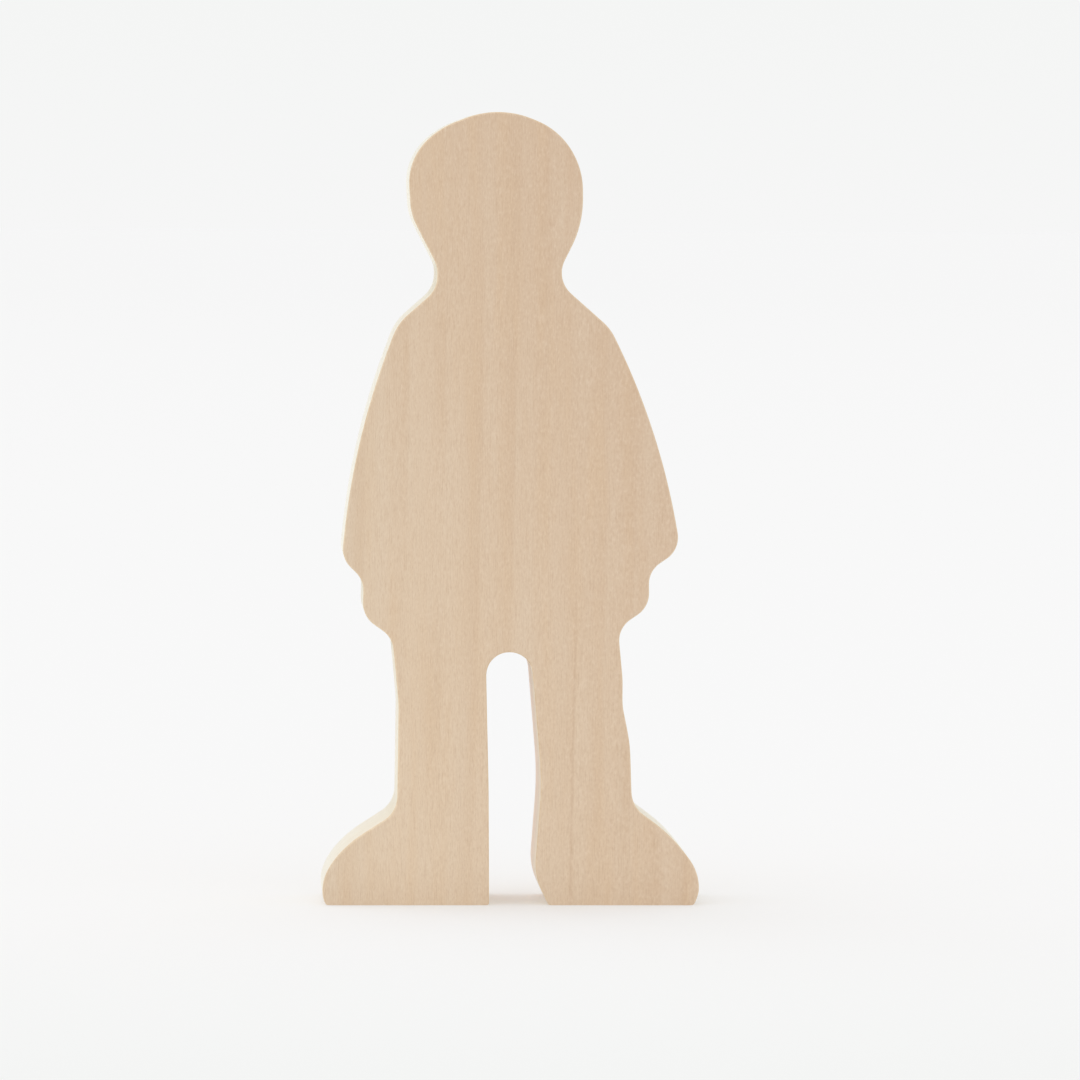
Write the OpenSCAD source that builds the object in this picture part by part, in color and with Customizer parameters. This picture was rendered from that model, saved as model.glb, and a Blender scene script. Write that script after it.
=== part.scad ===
// Flat cut-out doll: a child in a wide coat and boots, sawn from one planed board.
// It stands on its two soles, which lie on the plane Z = 0, with its front facing -Y.
// The middle of the footprint is at the origin, and X runs to the viewer's right.
// Left and right are the viewer's, looking at the front.
// A reach is measured sideways from the middle of the footprint.

/* [Board] */
// Thickness of the planed board, which is how deep the doll is
board_t = 18; // [12:0.5:24]

/* [Boots] */
// Width over the toes of both boots
boot_span = 57.1; // [52:0.1:64]
// Height of a boot, from the sole to the start of the straight leg
boot_h = 17.2; // [14:0.1:22]
// Height over which the outer end of the right boot slants in towards its sole
slant_h = 1.9; // [1:0.1:2.6]
// How far that slant sets the end of the right sole in from the toe
slant_in = 0.75; // [0.3:0.05:1.2]
// Radius of the corner at the outer end of a sole
sole_end_r = 0.3; // [0.1:0.05:0.6]
// Radius of the bend where a toe turns down into its slant
slant_r = 3; // [1:0.5:5]
// Radius of the hollow at the ankle
ankle_r = 4.4; // [3:0.1:7]

/* [Legs] */
// Reach of the left leg
left_leg_reach = 17.3; // [14:0.1:19]
// Reach of the right leg at the ankle
right_leg_reach = 18.3; // [15:0.1:20]
// Reach of the right leg at the knee, where it is slimmer
right_knee_reach = 16.8; // [14.5:0.1:17.8]
// Height of the legs, from the boots to the hollow under the left hand
leg_h = 23.4; // [18:0.1:30]
// Radius of the slight bends at the knees
knee_r = 14; // [5:0.5:20]

/* [Gap between the legs] */
// Reach of the left side of the gap at the floor
gap_left_reach = 3.3; // [2.5:0.1:5]
// Reach of the right side of the gap where it is widest, before it is rounded
gap_right_reach = 4.6; // [3.5:0.1:6]
// Height of the gap's arch above the floor
gap_h = 38.4; // [30:0.1:44]
// Radius of the two corners of the arch
arch_r = 3.5; // [2:0.1:3.6]

/* [Hands] */
// Reach of the left hand
left_hand_reach = 22.6; // [20:0.1:24.5]
// Reach of the right hand
right_hand_reach = 20.8; // [19.5:0.1:24]
// Height of a hand, from the hollow under it to the hollow over it
hand_h = 8.7; // [7.5:0.1:12]
// How much higher the right hand and hem are than the left ones
right_hand_lift = 1.5; // [0:0.1:3]
// Radius of the lower corner of a hand
hand_r = 3.9; // [2:0.1:5]
// Radius of the hollows under and over a hand
hand_hollow_r = 3.8; // [2:0.1:5.5]

/* [Coat] */
// Reach of the left corner of the hem, before it is rounded
left_hem_reach = 25.8; // [24:0.1:30]
// Reach of the right corner of the hem, before it is rounded
right_hem_reach = 25.5; // [24:0.1:30]
// Rise from the hollow over a hand to the corner of the hem
hem_h = 3.2; // [2.4:0.1:5]
// Radius of the hem's corners
hem_r = 3.9; // [2:0.1:5]
// Rise from the corner of the hem to the corner of the shoulder
coat_h = 35.5; // [30:0.1:42]
// Radius of the long bow of either side of the coat
flank_r = 113; // [60:1:160]
// Reach of the left shoulder, before it is rounded
left_shoulder_reach = 17.5; // [15:0.1:20]
// Reach of the right shoulder, before it is rounded
right_shoulder_reach = 14.7; // [13:0.1:18]
// How much lower the right shoulder is than the left one
right_shoulder_drop = 0.6; // [0:0.1:2]
// Radius of the shoulders
shoulder_r = 8; // [4:0.5:12]

/* [Neck] */
// Rise from the corner of the left shoulder to the foot of the neck
shoulder_h = 5.3; // [4:0.1:8]
// Reach of the left side of the neck
left_neck_reach = 11.5; // [9:0.1:13]
// Reach of the right side of the neck
right_neck_reach = 7.3; // [6:0.1:10]
// Height of the neck, from the slope of the shoulders to that of the jaw
neck_h = 3.4; // [2.6:0.1:5]
// Radius of the hollows at the neck
neck_r = 4.3; // [3:0.1:6]

/* [Head] */
// Width of the head
head_w = 26.4; // [22:0.1:30]
// Height of the head, from the neck to the crown
head_h = 23.3; // [20:0.1:28]
// How far the middle of the head lies to the left of the middle of the footprint
head_lean = 2.7; // [1:0.1:4]

/* [Hidden] */

// Furthest that a chord of a rounded corner may lie inside its arc, and the shortest chord kept
arc_sag = 0.006;
least_chord = 0.06;
// Turn, in degrees, under which two edges count as one straight line
straight_angle = 0.05;

// Heights above the floor of the left side's corners, each on top of the one below
hand_z = boot_h + leg_h;
cuff_z = hand_z + hand_h;
hem_z = cuff_z + hem_h;
shoulder_z = hem_z + coat_h;
neck_z = shoulder_z + shoulder_h;
jaw_z = neck_z + neck_h;

// Heights of the right side's corners where they differ
right_hand_z = hand_z + right_hand_lift;
right_cuff_z = cuff_z + right_hand_lift;
right_hem_z = hem_z + right_hand_lift;
right_shoulder_z = shoulder_z - right_shoulder_drop;

toe_reach = boot_span / 2;
head_reach = head_w / 2;

// How much smaller the slant at the left boot is
left_slant_share = 0.7;

// Where the corners of the legs, hands and coat lie between the sizes that they follow
left_ankle_share = 0.824;
right_ankle_share = 0.875;
left_knee_shares = [0.99, 0.57];
left_thigh_share = 1.047;
right_thigh_share = 0.955;
hand_corner_share = 0.365;
cuff_share = 0.994;
left_flank_shares = [0.222, 0.506];
right_flank_shares = [0.318, 0.56];

// Corners as [share of the way across, share of the way up, share of the radius]
left_toe_shares = [[1, 0.224, 0.36], [0.865, 0.392, 0.67], [0.624, 0.56, 1.05]];
right_toe_shares = [[1, 0.297, 0.43], [0.569, 0.626, 1.28]];
right_leg_shares = [[0.22, 0.293, 1.8], [1, 0.526, 0.5], [1, 0.69, 0.85]];
left_head_shares = [[-0.973, 0.335, 0.68], [-1.008, 0.69, 0.7], [-0.655, 0.894, 1], [-0.164, 1, 1.06]];
right_head_shares = [[0.224, 1, 1.08], [0.735, 0.884, 0.83], [0.994, 0.624, 0.89], [1, 0.276, 1.2]];
right_gap_shares = [[1.24, 0, 0], [0.772, 0.112, 0.25], [1, 0.488, 1.25]];
left_gap_shares = [[1, 0, 0], [1.045, 0.47, 1.6]];
arch_shares = [1.2, 0.632];
right_neck_shares = [0.185, 0.03];

// Corners between two reaches and up a rise, with radii that follow one size
function stretch(near_x, far_x, low_z, rise, size, shares) = [
    for (s = shares) [near_x + (far_x - near_x) * s[0], low_z + rise * s[1], size * s[2]]
];

// A point part of the way from one corner to the next, with a radius of its own
function between(low, high, shares, radius) = [
    low[0] + (high[0] - low[0]) * shares[0],
    low[1] + (high[1] - low[1]) * shares[1],
    radius
];

function reversed(list) = [for (i = [len(list) - 1 : -1 : 0]) list[i]];

// Corners of the outline as [x, z, radius], each side from the sole up to the crown
left_hem = [-left_hem_reach, hem_z, hem_r];
right_hem = [right_hem_reach, right_hem_z, hem_r];
left_shoulder = [-left_shoulder_reach, shoulder_z, shoulder_r];
right_shoulder = [right_shoulder_reach, right_shoulder_z, shoulder_r];

left_side = concat(
    [
        [slant_in * left_slant_share - toe_reach, 0, sole_end_r],
        [-toe_reach, slant_h * left_slant_share, slant_r]
    ],
    stretch(-left_leg_reach, -toe_reach, 0, boot_h, boot_h, left_toe_shares),
    [
        [-left_leg_reach, boot_h * left_ankle_share, ankle_r],
        [-left_leg_reach * left_knee_shares[0], boot_h + leg_h * left_knee_shares[1], knee_r],
        [-left_leg_reach * left_thigh_share, hand_z, hand_hollow_r],
        [-left_hand_reach, hand_z + hand_h * hand_corner_share, hand_r],
        [-left_hand_reach * cuff_share, cuff_z, hand_hollow_r],
        left_hem,
        between(left_hem, left_shoulder, left_flank_shares, flank_r),
        left_shoulder,
        [-left_neck_reach, neck_z, neck_r],
        [-left_neck_reach, jaw_z, neck_r]
    ],
    stretch(-head_lean, head_reach - head_lean, jaw_z, head_h, head_reach, left_head_shares)
);

right_side = concat(
    [[toe_reach - slant_in, 0, sole_end_r], [toe_reach, slant_h, slant_r]],
    stretch(right_leg_reach, toe_reach, 0, boot_h, boot_h, right_toe_shares),
    [[right_leg_reach, boot_h * right_ankle_share, ankle_r]],
    stretch(right_leg_reach, right_knee_reach, boot_h, right_hand_z - boot_h, knee_r, right_leg_shares),
    [
        [right_knee_reach * right_thigh_share, right_hand_z, hand_hollow_r],
        [right_hand_reach, right_hand_z + hand_h * hand_corner_share, hand_r],
        [right_hand_reach * cuff_share, right_cuff_z, hand_hollow_r],
        right_hem,
        between(right_hem, right_shoulder, right_flank_shares, flank_r),
        right_shoulder,
        [right_neck_reach, neck_z + neck_h * right_neck_shares[0], neck_r],
        [right_neck_reach, jaw_z + neck_h * right_neck_shares[1], neck_r]
    ],
    reversed(stretch(-head_lean, head_reach - head_lean, jaw_z, head_h, head_reach, right_head_shares))
);

gap = concat(
    stretch(0, gap_right_reach, 0, gap_h, gap_h, right_gap_shares),
    [
        [gap_right_reach * arch_shares[1], gap_h, arch_r],
        [-gap_left_reach * arch_shares[0], gap_h, arch_r]
    ],
    reversed(stretch(0, -gap_left_reach, 0, gap_h, gap_h, left_gap_shares))
);

outline = concat(left_side, reversed(right_side), gap);

// The place of a corner and the directions of the edges before and after it
function place(corners, i) = let (c = corners[(i + len(corners)) % len(corners)]) [c[0], c[1]];
function edge(corners, i) = place(corners, i + 1) - place(corners, i);
function direction(corners, i) = edge(corners, i) / norm(edge(corners, i));
function turn(corners, i) = acos(min(1, direction(corners, i - 1) * direction(corners, i)));

// How far from the corner its arc would begin, and the share of that for which both edges have room
function setback(corners, i) = corners[(i + len(corners)) % len(corners)][2] * tan(turn(corners, i) / 2);
function room_share(corners, i) = min(
    1,
    norm(edge(corners, i - 1)) / (setback(corners, i - 1) + setback(corners, i)),
    norm(edge(corners, i)) / (setback(corners, i) + setback(corners, i + 1))
);

// The chords that round one corner
function arc_points(corners, i) = let (
    way_in = direction(corners, i - 1),
    side = sign(cross(way_in, direction(corners, i))),
    share = room_share(corners, i),
    radius = corners[i][2] * share,
    start = place(corners, i) - way_in * setback(corners, i) * share,
    centre = start + side * radius * [-way_in[1], way_in[0]],
    steps = ceil(turn(corners, i) / (2 * acos(1 - arc_sag / radius)))
) [
    for (k = [0 : steps])
        let (a = side * turn(corners, i) * k / steps, d = start - centre)
        centre + [d[0] * cos(a) - d[1] * sin(a), d[0] * sin(a) + d[1] * cos(a)]
];

// A corner keeps its point where it has no radius or its edges run straight on
function rounded(corners) = [
    for (i = [0 : len(corners) - 1])
        let (sharp = corners[i][2] <= arc_sag || turn(corners, i) < straight_angle)
        each (sharp ? [place(corners, i)] : arc_points(corners, i))
];

// Where one arc runs straight into the next, the point they share is kept once
function distinct(points) = [
    for (i = [0 : len(points) - 1])
        if (norm(points[i] - points[(i + 1) % len(points)]) > least_chord) points[i]
];

// The whole doll is one piece of limewood, with the grain running from the head to the soles
module doll_figure() {
    color("#d8c0a5")
    rotate([90, 0, 0])
    linear_extrude(height = board_t, center = true)
    polygon(distinct(rounded(outline)));
}

doll_figure();
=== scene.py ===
import math

import bmesh
import bpy
from mathutils import Matrix, Vector, noise


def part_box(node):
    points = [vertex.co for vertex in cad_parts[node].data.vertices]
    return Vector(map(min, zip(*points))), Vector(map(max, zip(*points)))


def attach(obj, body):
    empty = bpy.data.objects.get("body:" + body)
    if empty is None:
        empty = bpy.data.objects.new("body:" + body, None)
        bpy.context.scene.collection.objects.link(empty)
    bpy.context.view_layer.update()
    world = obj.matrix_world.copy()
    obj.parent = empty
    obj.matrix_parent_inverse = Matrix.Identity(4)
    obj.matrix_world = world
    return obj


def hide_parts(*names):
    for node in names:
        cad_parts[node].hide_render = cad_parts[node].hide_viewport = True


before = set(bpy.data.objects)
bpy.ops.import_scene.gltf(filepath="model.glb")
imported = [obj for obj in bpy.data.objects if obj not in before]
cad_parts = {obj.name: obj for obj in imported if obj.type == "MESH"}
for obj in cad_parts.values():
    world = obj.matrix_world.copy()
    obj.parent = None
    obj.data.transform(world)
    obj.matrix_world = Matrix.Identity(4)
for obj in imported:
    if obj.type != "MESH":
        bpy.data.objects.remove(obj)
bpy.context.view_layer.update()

# The doll
# One piece of limewood board, sawn round the outline of a standing child in boots. The wide faces
# are planed, the narrow sides are the saw cut sanded smooth, and the arris between them is broken
# by hand with fine paper, so it is nowhere quite even.
MM = 0.001
node_name = "doll_figure"
face_low, face_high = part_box(node_name)
front_y = face_low.y
back_y = face_high.y

# Spacing of the mesh along the saw cut, how much finer the line is that it is taken from, the rows
# across the cut and over an arris, and the narrow band beside an arris that keeps the faces flat
run_step = 0.3 * MM
fine_steps = 6
side_rows = 14
arris_rows = 5
rim_margin = 0.08 * MM
weld = 0.001 * MM

# How far the sanding block rounds the arris, and how uneven the hand is
arris_radius = 0.34 * MM
arris_uneven_share = 0.28
arris_wander = 9 * MM
back_arris_share = 0.55
sole_arris_share = 0.3
sole_height = 1.5 * MM
corner_round = 0.8 * MM

# A corner of the saw line that turns more than this is a real one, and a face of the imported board
# that looks more to the front than this is its flat face
sharp_turn = math.radians(25)
straight_ahead = 0.9

# The gap between the legs, whose walls take a shaded copy of the wood, painted shade for the narrow
# gap. A wall looks less to the front than flat_wall
gap_middle = 0.6 * MM
gap_reach = 6.5 * MM
gap_top = 40 * MM
flat_wall = 0.1


def sawn_outline(name):
    """The corners (x, z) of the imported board's front face, anticlockwise as seen from the front."""
    board = bmesh.new()
    board.from_mesh(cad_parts[name].data)
    bmesh.ops.remove_doubles(board, verts=board.verts, dist=weld)
    board.normal_update()
    front_faces = [f for f in board.faces if f.normal.y < -straight_ahead]
    beside = {}
    for face in front_faces:
        for loop in face.loops:
            other = [f for f in loop.edge.link_faces if f is not face]
            if other and other[0].normal.y > -straight_ahead:
                beside[loop.vert.index] = loop.link_loop_next.vert.index
    board.verts.ensure_lookup_table()
    here = min(beside)
    order = [here]
    while beside[here] != order[0]:
        here = beside[here]
        order.append(here)
    corners = [Vector((board.verts[i].co.x, board.verts[i].co.z)) for i in order]
    board.free()
    return corners


def smooth_run(corners, step):
    """Points a step apart on a smooth line through the corners. Only a true corner stays one."""
    count = len(corners)
    legs = [corners[(i + 1) % count] - corners[i] for i in range(count)]
    points = []
    for i in range(count):
        leg = legs[i]
        before = legs[i - 1]
        after = legs[(i + 1) % count]
        start = leg if before.angle(leg) > sharp_turn else before + leg
        end = leg if leg.angle(after) > sharp_turn else leg + after
        start = start.normalized() * leg.length
        end = end.normalized() * leg.length
        pieces = max(1, math.ceil(leg.length / step))
        for k in range(pieces):
            t = k / pieces
            along = t * t * (3 - 2 * t)
            bulge_in = t * (1 - t) ** 2
            bulge_out = t * t * (1 - t)
            points.append(corners[i] + leg * along + start * bulge_in - end * bulge_out)
    return points


def even_run(points, step):
    """The same closed line with its points a whole number of equal steps apart."""
    count = len(points)
    reach = [0.0]
    for i in range(count):
        reach.append(reach[-1] + (points[(i + 1) % count] - points[i]).length)
    total = reach[-1]
    wanted = round(total / step)
    even = []
    i = 0
    for k in range(wanted):
        at = total * k / wanted
        while reach[i + 1] < at:
            i += 1
        share = (at - reach[i]) / (reach[i + 1] - reach[i])
        even.append(points[i].lerp(points[(i + 1) % count], share))
    return even


def sanded_run(points, width, step):
    """The line after sanding: each point is the mean of the line within half the width each way."""
    reach = round(width / step / 2)
    count = len(points)
    sanded = []
    for i in range(count):
        near = [points[(i + k) % count] for k in range(-reach, reach + 1)]
        sanded.append(sum(near, Vector((0, 0))) / len(near))
    return sanded


fine_step = run_step / fine_steps
fine_line = even_run(smooth_run(sawn_outline(node_name), fine_step), fine_step)
saw_line = even_run(sanded_run(fine_line, corner_round, fine_step), run_step)
saw_count = len(saw_line)


def outward(i):
    """The direction that faces away from the wood at a point of the saw line."""
    along = saw_line[(i + 1) % saw_count] - saw_line[i - 1]
    return Vector((along.y, -along.x)).normalized()


def eased(i, face):
    """The radius of the broken arris at a point of the saw line: face is -1 in front, 1 behind."""
    place = Vector((saw_line[i].x, face * arris_wander, saw_line[i].y)) / arris_wander
    above_sole = min(1.0, (saw_line[i].y - face_low.z) / sole_height)
    sanded_share = sole_arris_share + (1 - sole_arris_share) * above_sole
    if face > 0:
        sanded_share *= back_arris_share
    return arris_radius * sanded_share * (1 + arris_uneven_share * noise.noise(place))


def ring_point(i, inset, y):
    """A point of the surface beside the saw line, that far in from it."""
    at = saw_line[i] - outward(i) * inset
    return Vector((at.x, y, at.y))


def arris_ring(radii, face_y, inward, angle):
    """Points round the doll on its arris, at that angle from the flat face towards the side."""
    ring = []
    for i, radius in enumerate(radii):
        inset = radius * (1 - math.sin(angle))
        depth = radius * (1 - math.cos(angle))
        ring.append(ring_point(i, inset, face_y + inward * depth))
    return ring


def board_rings():
    """Rings of points from the front face, over its arris, across the side and round to the back."""
    angles = [(k / arris_rows) * math.pi / 2 for k in range(arris_rows + 1)]
    front_radii = [eased(i, -1) for i in range(saw_count)]
    back_radii = [eased(i, 1) for i in range(saw_count)]
    rings = [[ring_point(i, front_radii[i] + rim_margin, front_y) for i in range(saw_count)]]
    rings += [arris_ring(front_radii, front_y, 1, a) for a in angles]
    for k in range(side_rows + 1):
        row = []
        for i in range(saw_count):
            low = front_y + front_radii[i] + rim_margin
            high = back_y - back_radii[i] - rim_margin
            row.append(ring_point(i, 0, low + (high - low) * k / side_rows))
        rings.append(row)
    rings += [arris_ring(back_radii, back_y, -1, a) for a in reversed(angles)]
    rings.append([ring_point(i, back_radii[i] + rim_margin, back_y) for i in range(saw_count)])
    return rings


def within(point):
    """The point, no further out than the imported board."""
    return Vector([min(max(v, low), high) for v, low, high in zip(point, face_low, face_high)])


figure_mesh = bmesh.new()
rows = [[figure_mesh.verts.new(within(p)) for p in ring] for ring in board_rings()]
for near, far in zip(rows, rows[1:]):
    for i in range(saw_count):
        j = (i + 1) % saw_count
        figure_mesh.faces.new((near[i], far[i], far[j], near[j]))
figure_mesh.faces.new(rows[0])
figure_mesh.faces.new(reversed(rows[-1]))
bmesh.ops.recalc_face_normals(figure_mesh, faces=figure_mesh.faces)
for face in figure_mesh.faces:
    centre = face.calc_center_median()
    in_gap = abs(centre.x - gap_middle) < gap_reach and face_low.z + weld < centre.z < gap_top
    # The gap's walls take the shaded copy of the wood, painted shade
    face.material_index = int(in_gap and abs(face.normal.y) < flat_wall)
    face.smooth = True
figure_data = bpy.data.meshes.new("limewood_figure")
figure_mesh.to_mesh(figure_data)
figure_mesh.free()
figure = bpy.data.objects.new("limewood_figure", figure_data)
bpy.context.scene.collection.objects.link(figure)
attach(figure, "root")
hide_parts(node_name)


# Sanded limewood
# Limewood is pale, close and even, with faint growth rings, fine pores and short ray flecks. It is
# planed and sanded with no oil, so it is matt. The pattern fills the wood, so the rings that run up
# the face as soft bands cross the crown and the soles as arcs.
def add(tree, kind, sockets=(), **settings):
    """Adds a node, with its settings, and its sockets by value or linked from another node's socket."""
    made = tree.nodes.new(kind)
    for name, value in settings.items():
        setattr(made, name, value)
    for name, value in dict(sockets).items():
        if isinstance(value, bpy.types.NodeSocket):
            tree.links.new(value, made.inputs[name])
        else:
            made.inputs[name].default_value = value
    return made


def linear(hex_colour):
    """An sRGB hex colour as the linear RGBA that a shader takes."""
    parts = [int(hex_colour[k : k + 2], 16) / 255 for k in (1, 3, 5)]
    return [v / 12.92 if v <= 0.04045 else ((v + 0.055) / 1.055) ** 2.4 for v in parts] + [1.0]


# Painted light: the plain wood as lit, to the left towards the lamp and down towards the bright floor,
# and as shaded, to the right and up, and how fast it changes across and up
wood_in_light = "#E7D0B4"
wood_in_shade = "#DABEA2"
light_drift_across = 0.37
light_drift_up = 0.35
light_drift_middle = 0.5

# The rings. All lengths of the pattern are in millimetres: where the heart of the tree lay, behind
# the board, the width of a ring, and how the rings lean and wave. Up the grain a wave is four times
# as long
late_wood = "#CBA57E"
heart = (-58.0, 46.0, 0.0)
ring_width = 3.6
ring_lean = 0.014
ring_wave = 0.6
ring_wave_length = 26.0
ring_wave_squash = (1, 1, 0.25)
ring_wave_detail = 2.0
ring_strength = 0.18

# The part of its width over which a ring darkens outwards, before it ends sharply
ring_dark_from = 0.25
ring_dark_to = 0.9

# A ring is stronger in some places: how fast that changes from ring to ring, round the heart and up
patch_pace = (0.73, 0.05, 0.03)
patch_low = 0.35
patch_high = 0.7

# The one growth line that shows up the viewer's right leg
line_wood = "#B3875E"
line_x = 9.15
line_half_width = 0.14
line_top = 54.0
line_fade = 16.0
line_strength = 0.16

# Flecks are the ends of rays, 0.1 mm wide and up to 1 mm tall; fibres are the pores cut lengthwise.
# Both are under a pixel wide, so they are drawn about twice as coarse as they are
fleck_dark = "#BE9772"
fleck_light = "#FBEAD6"
fleck_width = 0.17
fleck_depth = 5.0
fleck_height = 0.6
fleck_strength = 0.18
fleck_dark_from = 0.52
fleck_dark_to = 0.75
fleck_light_from = 0.46
fleck_light_to = 0.25
fibre_width = 0.15
fibre_height = 3.6
fibre_strength = 0.22
fibre_dark_from = 0.5
fibre_dark_to = 0.75
fine_detail = 1.0

# Soft clouds of a greyer and a browner tone, drawn out along the grain
grey_wood = "#E5D1B9"
brown_wood = "#E0C19D"
cloud_width = 3.2
cloud_height = 44.0
cloud_strength = 0.31
cloud_detail = 4.0
cloud_roughness = 0.6
cloud_middle = 0.5
cloud_reach = 0.2

# Towards its left edge the board is a little greyer
edge_wood = "#DCCBB4"
edge_from = -17.0
edge_to = -30.0
edge_strength = 0.36

# Painted shade: the wood darkens towards the foot of the boots, where the floor shades it
floor_shade_wood = "#B99571"
floor_shade_height = 7.0
floor_shade_strength = 0.1

# The saw cut is paler than the planed face, partly its own sanded colour and partly painted light
# from the left; most of all at the back, where the paleness is painted backlight. It keeps a little of
# the saw's marks across its thickness. It is whole where the surface hardly looks to the front
side_front_lit = "#F8E6C2"
side_back_backlit = "#FAF4E4"
side_paleness_and_light = 0.7
side_whole = 0.1
side_none = 0.85
saw_pitch = 0.55
saw_reach = 9.0

# Painted highlight: the broken arris is lighter, from where it leaves the face to where it meets the side
arris_highlight = 0.3
arris_none = 0.98
arris_whole = 0.8
arris_end = 0.5
arris_gone = 0.15

# End grain drinks the light, so it is browner where the surface looks up or down
end_wood = "#DDBF99"
end_strength = 0.5
end_from = 0.8

# The depth of the pores and saw marks, and the shine of the planed face and of the sanded side
relief = 0.018 * MM
face_roughness = 0.6
side_roughness = 0.3
wood_ior = 1.5

# Sanding raises a nap of fine fibres, which catches the light edge on: it whitens the narrow side
# that the camera sees along
nap = "#FEFFF6"
face_nap = 1.0
nap_roughness = 0.28

# Where a Mix node that is set to colours has its share, its two colours and its result
mix_share = 0
mix_under = 6
mix_over = 7
mix_colour = 2

limewood = bpy.data.materials.new("sanded_limewood")
limewood.use_nodes = True
wood = limewood.node_tree
wood.nodes.clear()
place_in = add(wood, "ShaderNodeTexCoord")
place = add(
    wood, "ShaderNodeVectorMath", {0: place_in.outputs["Object"], "Scale": 1 / MM}, operation="SCALE"
)
place_xyz = add(wood, "ShaderNodeSeparateXYZ", {0: place.outputs[0]})
height = place_xyz.outputs["Z"]

# Round the heart: distance out from it, and distance round it at the middle of the board
lean = add(wood, "ShaderNodeVectorMath", {0: height, 1: (ring_lean, 0, 0)}, operation="MULTIPLY")
from_heart = add(wood, "ShaderNodeVectorMath", {0: place.outputs[0], 1: heart}, operation="SUBTRACT")
upright_grain = add(
    wood, "ShaderNodeVectorMath", {0: from_heart.outputs[0], 1: lean.outputs[0]}, operation="SUBTRACT"
)
across = add(
    wood, "ShaderNodeVectorMath", {0: upright_grain.outputs[0], 1: (1, 1, 0)}, operation="MULTIPLY"
)
radius = add(wood, "ShaderNodeVectorMath", {0: across.outputs[0]}, operation="LENGTH").outputs["Value"]
across_xyz = add(wood, "ShaderNodeSeparateXYZ", {0: across.outputs[0]})
bearing = add(
    wood, "ShaderNodeMath", {0: across_xyz.outputs["Y"], 1: across_xyz.outputs["X"]}, operation="ARCTAN2"
)
middle_radius = math.hypot(line_x - heart[0], front_y / MM - heart[1])
round_heart = add(wood, "ShaderNodeMath", {0: bearing.outputs[0], 1: middle_radius}, operation="MULTIPLY")

# The rings: each darkens slowly outwards and ends sharply
wave_place = add(
    wood, "ShaderNodeVectorMath", {0: place.outputs[0], 1: ring_wave_squash}, operation="MULTIPLY"
)
wave = add(
    wood,
    "ShaderNodeTexNoise",
    {"Vector": wave_place.outputs[0], "Scale": 1 / ring_wave_length, "Detail": ring_wave_detail},
)
wave_mm = add(
    wood,
    "ShaderNodeMath",
    {0: wave.outputs[0], 1: 2 * ring_wave, 2: -ring_wave},
    operation="MULTIPLY_ADD",
)
ring_place = add(wood, "ShaderNodeMath", {0: radius, 1: wave_mm.outputs[0]}, operation="ADD")
ring_count = add(
    wood,
    "ShaderNodeMath",
    {0: ring_place.outputs[0], 1: 1 / ring_width, 2: -middle_radius / ring_width},
    operation="MULTIPLY_ADD",
)
ring_part = add(wood, "ShaderNodeMath", {0: ring_count.outputs[0]}, operation="FRACT")
ring_rise = add(
    wood,
    "ShaderNodeMapRange",
    {"Value": ring_part.outputs[0], "From Min": ring_dark_from, "From Max": ring_dark_to},
    interpolation_type="SMOOTHSTEP",
)
ring_end = add(
    wood,
    "ShaderNodeMapRange",
    {"Value": ring_part.outputs[0], "From Min": ring_dark_to, "To Min": 1.0, "To Max": 0.0},
    interpolation_type="SMOOTHSTEP",
)
ring_tone = add(
    wood, "ShaderNodeMath", {0: ring_rise.outputs[0], 1: ring_end.outputs[0]}, operation="MULTIPLY"
)
ring_whole = add(wood, "ShaderNodeMath", {0: ring_count.outputs[0]}, operation="FLOOR")
patch_place = add(
    wood,
    "ShaderNodeCombineXYZ",
    {"X": ring_whole.outputs[0], "Y": round_heart.outputs[0], "Z": height},
)
patch_scaled = add(
    wood, "ShaderNodeVectorMath", {0: patch_place.outputs[0], 1: patch_pace}, operation="MULTIPLY"
)
patch = add(
    wood, "ShaderNodeTexNoise", {"Vector": patch_scaled.outputs[0], "Scale": 1.0, "Detail": fine_detail}
)
patch_tone = add(
    wood,
    "ShaderNodeMapRange",
    {"Value": patch.outputs[0], "From Min": patch_low, "From Max": patch_high, "To Max": ring_strength},
)
ring_mix = add(
    wood, "ShaderNodeMath", {0: ring_tone.outputs[0], 1: patch_tone.outputs[0]}, operation="MULTIPLY"
)

# The plain colour, with painted light: paler to the left and towards the foot, darker to the right and up
low_mm = Vector(face_low) / MM
high_mm = Vector(face_high) / MM
middle_mm = (low_mm + high_mm) / 2
half_mm = (high_mm - low_mm) / 2
light_drift_slope = Vector((light_drift_across / half_mm.x, 0, light_drift_up / half_mm.z))
light_drift_start = light_drift_middle - light_drift_slope.dot(middle_mm)
light_drift = add(wood, "ShaderNodeVectorMath", {0: place.outputs[0], 1: light_drift_slope}, operation="DOT_PRODUCT")
light_drift_share = add(wood, "ShaderNodeMath", {0: light_drift.outputs["Value"], 1: light_drift_start}, operation="ADD")
colour = add(
    wood,
    "ShaderNodeMix",
    {mix_share: light_drift_share.outputs[0], mix_under: linear(wood_in_light), mix_over: linear(wood_in_shade)},
    data_type="RGBA",
)
edge_share = add(
    wood,
    "ShaderNodeMapRange",
    {"Value": place_xyz.outputs["X"], "From Min": edge_from, "From Max": edge_to, "To Max": edge_strength},
)
# Painted shade low on the boots, near the floor
floor_shade_share = add(
    wood,
    "ShaderNodeMapRange",
    {"Value": height, "From Min": floor_shade_height, "From Max": 0.0, "To Max": floor_shade_strength},
    interpolation_type="SMOOTHSTEP",
)
for tint, share in ((edge_wood, edge_share), (floor_shade_wood, floor_shade_share)):
    colour = add(
        wood,
        "ShaderNodeMix",
        {mix_share: share.outputs[0], mix_under: colour.outputs[mix_colour], mix_over: linear(tint)},
        data_type="RGBA",
    )

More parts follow.
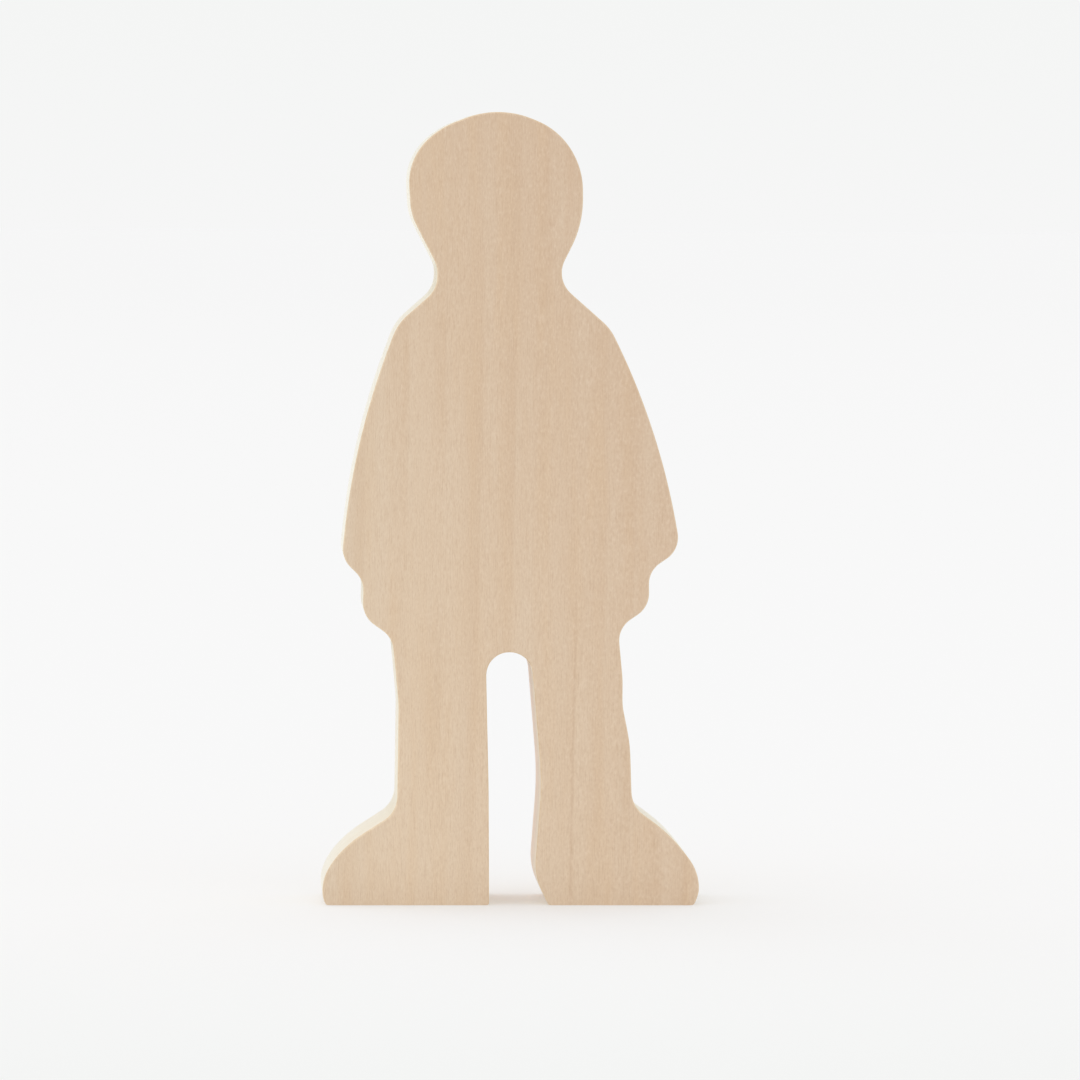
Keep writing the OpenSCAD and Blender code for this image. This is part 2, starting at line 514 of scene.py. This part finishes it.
# Which way the surface looks: across the board, over the arris or along the grain
facing = add(wood, "ShaderNodeVectorMath", {0: place_in.outputs["Normal"]}, operation="ABSOLUTE")
facing_xyz = add(wood, "ShaderNodeSeparateXYZ", {0: facing.outputs[0]})
facing_front = facing_xyz.outputs["Y"]
on_side = add(
    wood,
    "ShaderNodeMapRange",
    {
        "Value": facing_front,
        "From Min": side_whole,
        "From Max": side_none,
        "To Min": side_paleness_and_light,
        "To Max": 0.0,
    },
)
# Painted highlight along the broken arris
arris_highlight_in = add(
    wood,
    "ShaderNodeMapRange",
    {"Value": facing_front, "From Min": arris_none, "From Max": arris_whole, "To Max": arris_highlight},
)
arris_highlight_out = add(
    wood, "ShaderNodeMapRange", {"Value": facing_front, "From Min": arris_gone, "From Max": arris_end}
)
arris_highlight_share = add(
    wood, "ShaderNodeMath", {0: arris_highlight_in.outputs[0], 1: arris_highlight_out.outputs[0]}, operation="MULTIPLY"
)
pale_and_lit_side = add(
    wood, "ShaderNodeMath", {0: on_side.outputs[0], 1: arris_highlight_share.outputs[0]}, operation="MAXIMUM"
)
on_end = add(
    wood,
    "ShaderNodeMapRange",
    {"Value": facing_xyz.outputs["Z"], "From Min": end_from, "To Max": end_strength},
)
# Painted backlight: the side is paler towards the back of the board
backlight_share = add(
    wood,
    "ShaderNodeMapRange",
    {"Value": place_xyz.outputs["Y"], "From Min": front_y / MM, "From Max": back_y / MM},
)
lit_side_colours = add(
    wood,
    "ShaderNodeMix",
    {mix_share: backlight_share.outputs[0], mix_under: linear(side_front_lit), mix_over: linear(side_back_backlit)},
    data_type="RGBA",
)
for tint, share in ((lit_side_colours.outputs[mix_colour], pale_and_lit_side), (linear(end_wood), on_end)):
    colour = add(
        wood,
        "ShaderNodeMix",
        {mix_share: share.outputs[0], mix_under: colour.outputs[mix_colour], mix_over: tint},
        data_type="RGBA",
    )

# The rings over that, and the clouds over the rings
colour = add(
    wood,
    "ShaderNodeMix",
    {mix_share: ring_mix.outputs[0], mix_under: colour.outputs[mix_colour], mix_over: linear(late_wood)},
    data_type="RGBA",
)
cloud_place = add(
    wood,
    "ShaderNodeVectorMath",
    {0: place.outputs[0], 1: (1 / cloud_width, 1 / cloud_width, 1 / cloud_height)},
    operation="MULTIPLY",
)
cloud = add(
    wood,
    "ShaderNodeTexNoise",
    {"Vector": cloud_place.outputs[0], "Scale": 1.0, "Detail": cloud_detail, "Roughness": cloud_roughness},
)
for tint, end in ((grey_wood, cloud_middle + cloud_reach), (brown_wood, cloud_middle - cloud_reach)):
    share = add(
        wood,
        "ShaderNodeMapRange",
        {"Value": cloud.outputs[0], "From Min": cloud_middle, "From Max": end, "To Max": cloud_strength},
    )
    colour = add(
        wood,
        "ShaderNodeMix",
        {mix_share: share.outputs[0], mix_under: colour.outputs[mix_colour], mix_over: linear(tint)},
        data_type="RGBA",
    )

# The brown growth line, which fades out above the knee and round the side
line_off = add(wood, "ShaderNodeMath", {0: ring_place.outputs[0], 1: middle_radius}, operation="SUBTRACT")
line_far = add(wood, "ShaderNodeMath", {0: line_off.outputs[0]}, operation="ABSOLUTE")
line_core = add(
    wood,
    "ShaderNodeMapRange",
    {"Value": line_far.outputs[0], "From Max": 2 * line_half_width, "To Min": line_strength, "To Max": 0.0},
    interpolation_type="SMOOTHSTEP",
)
line_low = add(
    wood,
    "ShaderNodeMapRange",
    {"Value": height, "From Min": line_top - line_fade, "From Max": line_top, "To Min": 1.0, "To Max": 0.0},
    interpolation_type="SMOOTHSTEP",
)
line_face = add(wood, "ShaderNodeMath", {0: line_low.outputs[0], 1: facing_front}, operation="MULTIPLY")
line_mix = add(
    wood, "ShaderNodeMath", {0: line_core.outputs[0], 1: line_face.outputs[0]}, operation="MULTIPLY"
)
colour = add(
    wood,
    "ShaderNodeMix",
    {mix_share: line_mix.outputs[0], mix_under: colour.outputs[mix_colour], mix_over: linear(line_wood)},
    data_type="RGBA",
)

# Ray flecks, which are thin round the heart and long out from it, and the fibres between them
fleck_place = add(wood, "ShaderNodeCombineXYZ", {"X": round_heart.outputs[0], "Y": radius, "Z": height})
fleck_scaled = add(
    wood,
    "ShaderNodeVectorMath",
    {0: fleck_place.outputs[0], 1: (1 / fleck_width, 1 / fleck_depth, 1 / fleck_height)},
    operation="MULTIPLY",
)
fleck = add(
    wood, "ShaderNodeTexNoise", {"Vector": fleck_scaled.outputs[0], "Scale": 1.0, "Detail": fine_detail}
)
fibre_place = add(
    wood,
    "ShaderNodeVectorMath",
    {0: place.outputs[0], 1: (1 / fibre_width, 1 / fibre_width, 1 / fibre_height)},
    operation="MULTIPLY",
)
fibre = add(
    wood, "ShaderNodeTexNoise", {"Vector": fibre_place.outputs[0], "Scale": 1.0, "Detail": fine_detail}
)
fleck_deep = add(
    wood,
    "ShaderNodeMapRange",
    {
        "Value": fleck.outputs[0],
        "From Min": fleck_dark_from,
        "From Max": fleck_dark_to,
        "To Max": fleck_strength,
    },
)
fleck_pale = add(
    wood,
    "ShaderNodeMapRange",
    {
        "Value": fleck.outputs[0],
        "From Min": fleck_light_from,
        "From Max": fleck_light_to,
        "To Max": fleck_strength,
    },
)
fibre_deep = add(
    wood,
    "ShaderNodeMapRange",
    {
        "Value": fibre.outputs[0],
        "From Min": fibre_dark_from,
        "From Max": fibre_dark_to,
        "To Max": fibre_strength,
    },
)
for tint, share in ((fleck_dark, fleck_deep), (fleck_dark, fibre_deep), (fleck_light, fleck_pale)):
    colour = add(
        wood,
        "ShaderNodeMix",
        {mix_share: share.outputs[0], mix_under: colour.outputs[mix_colour], mix_over: linear(tint)},
        data_type="RGBA",
    )

# Relief: pores and flecks all over, and the sanded saw marks across the side
saw_place = add(
    wood,
    "ShaderNodeVectorMath",
    {0: place.outputs[0], 1: (1 / saw_pitch, 1 / saw_reach, 1 / saw_pitch)},
    operation="MULTIPLY",
)
saw = add(
    wood, "ShaderNodeTexNoise", {"Vector": saw_place.outputs[0], "Scale": 1.0, "Detail": fine_detail}
)
saw_height = add(wood, "ShaderNodeMath", {0: saw.outputs[0], 1: on_side.outputs[0]}, operation="MULTIPLY")
pore_depth = add(
    wood, "ShaderNodeMath", {0: fibre_deep.outputs[0], 1: fleck_deep.outputs[0]}, operation="ADD"
)
surface = add(
    wood, "ShaderNodeMath", {0: saw_height.outputs[0], 1: pore_depth.outputs[0]}, operation="SUBTRACT"
)
bump = add(wood, "ShaderNodeBump", {"Strength": 1.0, "Distance": relief, "Height": surface.outputs[0]})
matt = add(
    wood,
    "ShaderNodeMapRange",
    {
        "Value": on_side.outputs[0],
        "From Max": side_paleness_and_light,
        "To Min": face_roughness,
        "To Max": side_roughness,
    },
)
wood_shader = add(
    wood,
    "ShaderNodeBsdfPrincipled",
    {
        "Base Color": colour.outputs[mix_colour],
        "Roughness": matt.outputs[0],
        "IOR": wood_ior,
        "Sheen Weight": face_nap,
        "Sheen Roughness": nap_roughness,
        "Sheen Tint": linear(nap),
        "Normal": bump.outputs[0],
    },
)
add(wood, "ShaderNodeOutputMaterial", {"Surface": wood_shader.outputs[0]})
figure_data.materials.append(limewood)

# Shaded gap walls
# The walls of the gap take a shaded copy of the same wood, painted shade for the narrow gap: lighter
# at the front, where light comes in, browner towards the back, painted shade, and with little nap, so
# it hardly whitens edge on.
gap_front_light = "#FFEDC3"
gap_back_shade = "#F0CBA3"
gap_wall_nap = 0.35
gap_wall_paleness = 1.0
on_side.name = "on side"
lit_side_colours.name = "lit side colours"
wood_shader.name = "wood"
gap_shade_material = limewood.copy()
gap_shade_material.name = "gap_shaded_limewood"
gap_shade_nodes = gap_shade_material.node_tree.nodes
gap_shade_nodes["on side"].inputs["To Min"].default_value = gap_wall_paleness
gap_shade_nodes["lit side colours"].inputs[mix_under].default_value = linear(gap_front_light)
gap_shade_nodes["lit side colours"].inputs[mix_over].default_value = linear(gap_back_shade)
gap_shade_nodes["wood"].inputs["Sheen Weight"].default_value = gap_wall_nap
figure_data.materials.append(gap_shade_material)

# The paper floor
# A wide sheet of matt white paper that the doll stands on. Its tone falls off a little towards the
# camera and far away, painted light that leaves it brightest round the doll, and part of its white
# shows without light, which keeps the shadows soft.
paper = "#F3F3F3"
paper_near = "#EFF0EF"
paper_far = "#F1F1F1"
paper_seen = "#FBFBFB"
paper_seen_near = "#F6F7F6"
paper_seen_far = "#F9F9F9"
near_from = -0.04
near_to = -0.24
far_from = 0.4
far_to = 5.5
paper_evenness = 0.3
floor_reach = 12.0
floor_sides = 96
floor_drop = 0.005 * MM
floor_mesh = bmesh.new()
bmesh.ops.create_circle(floor_mesh, cap_ends=True, radius=floor_reach, segments=floor_sides)
floor_data = bpy.data.meshes.new("paper_floor")
floor_mesh.to_mesh(floor_data)
floor_mesh.free()
floor = bpy.data.objects.new("paper_floor", floor_data)
floor.location.z = -floor_drop
bpy.context.scene.collection.objects.link(floor)
white_paper = bpy.data.materials.new("white_paper")
white_paper.use_nodes = True
sheet = white_paper.node_tree
sheet.nodes.clear()
sheet_place = add(sheet, "ShaderNodeTexCoord")
sheet_xyz = add(sheet, "ShaderNodeSeparateXYZ", {0: sheet_place.outputs["Object"]})
sheet_away = add(sheet, "ShaderNodeVectorMath", {0: sheet_place.outputs["Object"]}, operation="LENGTH")
sheet_near = add(
    sheet,
    "ShaderNodeMapRange",
    {"Value": sheet_xyz.outputs["Y"], "From Min": near_from, "From Max": near_to},
)
sheet_far = add(
    sheet,
    "ShaderNodeMapRange",
    {"Value": sheet_away.outputs["Value"], "From Min": far_from, "From Max": far_to},
)
sheet_colours = []
for plain, near, far in ((paper, paper_near, paper_far), (paper_seen, paper_seen_near, paper_seen_far)):
    dimmed = linear(plain)
    for tint, share in ((near, sheet_near), (far, sheet_far)):
        dimmed = add(
            sheet,
            "ShaderNodeMix",
            {mix_share: share.outputs[0], mix_under: dimmed, mix_over: linear(tint)},
            data_type="RGBA",
        ).outputs[mix_colour]
    sheet_colours.append(dimmed)
sheet_lit = add(sheet, "ShaderNodeBsdfDiffuse", {"Color": sheet_colours[0]})
sheet_plain = add(sheet, "ShaderNodeEmission", {"Color": sheet_colours[1]})
sheet_top = add(
    sheet, "ShaderNodeMixShader", {0: paper_evenness, 1: sheet_lit.outputs[0], 2: sheet_plain.outputs[0]}
)

# From below the sheet is clear, so the soles can be looked at
sheet_side = add(sheet, "ShaderNodeNewGeometry")
sheet_clear = add(sheet, "ShaderNodeBsdfTransparent")
sheet_mix = add(
    sheet,
    "ShaderNodeMixShader",
    {0: sheet_side.outputs["Backfacing"], 1: sheet_top.outputs[0], 2: sheet_clear.outputs[0]},
)
add(sheet, "ShaderNodeOutputMaterial", {"Surface": sheet_mix.outputs[0]})
floor_data.materials.append(white_paper)

# The white room
# White walls all round light the doll evenly. The camera, and whatever shines or is clear, sees
# them as a plain white backdrop, a touch greyer above the edge of the paper.
backdrop = "#F6F6F6"
backdrop_low = "#F6F6F6"
backdrop_high = "#F4F5F4"
backdrop_from = -0.01
backdrop_to = 0.03
room_light = 0.985
world = bpy.data.worlds.new("white_studio")
bpy.context.scene.world = world
world.use_nodes = True
sky = world.node_tree
sky.nodes.clear()
sky_ray = add(sky, "ShaderNodeLightPath")
sky_seen = sky_ray.outputs["Is Camera Ray"]
for kind in ("Is Glossy Ray", "Is Transmission Ray"):
    sky_either = add(sky, "ShaderNodeMath", {0: sky_seen, 1: sky_ray.outputs[kind]}, operation="MAXIMUM")
    sky_seen = sky_either.outputs[0]
sky_light = add(sky, "ShaderNodeBackground", {"Color": linear(backdrop), "Strength": room_light})
sky_place = add(sky, "ShaderNodeTexCoord")
sky_way = add(sky, "ShaderNodeSeparateXYZ", {0: sky_place.outputs["Generated"]})
sky_height = add(
    sky,
    "ShaderNodeMapRange",
    {"Value": sky_way.outputs["Z"], "From Min": backdrop_from, "From Max": backdrop_to},
)
sky_colour = add(
    sky,
    "ShaderNodeMix",
    {mix_share: sky_height.outputs[0], mix_under: linear(backdrop_low), mix_over: linear(backdrop_high)},
    data_type="RGBA",
)
sky_plain = add(sky, "ShaderNodeBackground", {"Color": sky_colour.outputs[mix_colour], "Strength": 1.0})
sky_mix = add(sky, "ShaderNodeMixShader", {0: sky_seen, 1: sky_light.outputs[0], 2: sky_plain.outputs[0]})
add(sky, "ShaderNodeOutputWorld", {"Surface": sky_mix.outputs[0]})

# The lamp
# One weak, very wide softbox, high up to the left and a little behind the doll. It lifts the narrow
# left side and lays a faint shadow on the paper to the right. Azimuth 0 is in front, plus is right.
key_strength = 0.5
key_spread = math.radians(80)
key_azimuth = math.radians(-112)
key_height = math.radians(56)
key_data = bpy.data.lights.new("softbox", "SUN")
key_data.energy = key_strength
key_data.angle = key_spread
key = bpy.data.objects.new("softbox", key_data)
key_from = Vector(
    (
        math.sin(key_azimuth) * math.cos(key_height),
        -math.cos(key_azimuth) * math.cos(key_height),
        math.sin(key_height),
    )
)
key.rotation_mode = "QUATERNION"
key.rotation_quaternion = key_from.to_track_quat("Z", "Y")
bpy.context.scene.collection.objects.link(key)

# The camera
# It stands just over a metre in front, a little to the left and level with the head, and looks down
# a little, so the left and upper sides of the saw cut show.
eye = Vector((-46.246, -1137.497, 111.665)) * MM
turn_right = math.radians(2.5577)
look_down = math.radians(2.8503)
roll = math.radians(0.2521)
sensor = 36.0
lens = 249.408
nearest = 0.1
furthest = 100.0
camera_data = bpy.data.cameras.new("camera")
camera_data.sensor_width = sensor
camera_data.lens = lens
camera_data.clip_start = nearest
camera_data.clip_end = furthest
camera = bpy.data.objects.new("camera", camera_data)
ahead = Vector(
    (
        math.sin(turn_right) * math.cos(look_down),
        math.cos(turn_right) * math.cos(look_down),
        -math.sin(look_down),
    )
)
level = Vector((math.cos(turn_right), -math.sin(turn_right), 0))
upright = level.cross(ahead)
side = level * math.cos(roll) + upright * math.sin(roll)
top = upright * math.cos(roll) - level * math.sin(roll)
camera.matrix_world = Matrix.Translation(eye) @ Matrix((side, top, -ahead)).transposed().to_4x4()
bpy.context.scene.collection.objects.link(camera)
bpy.context.scene.camera = camera

bpy.context.scene.view_settings.view_transform = "Standard"
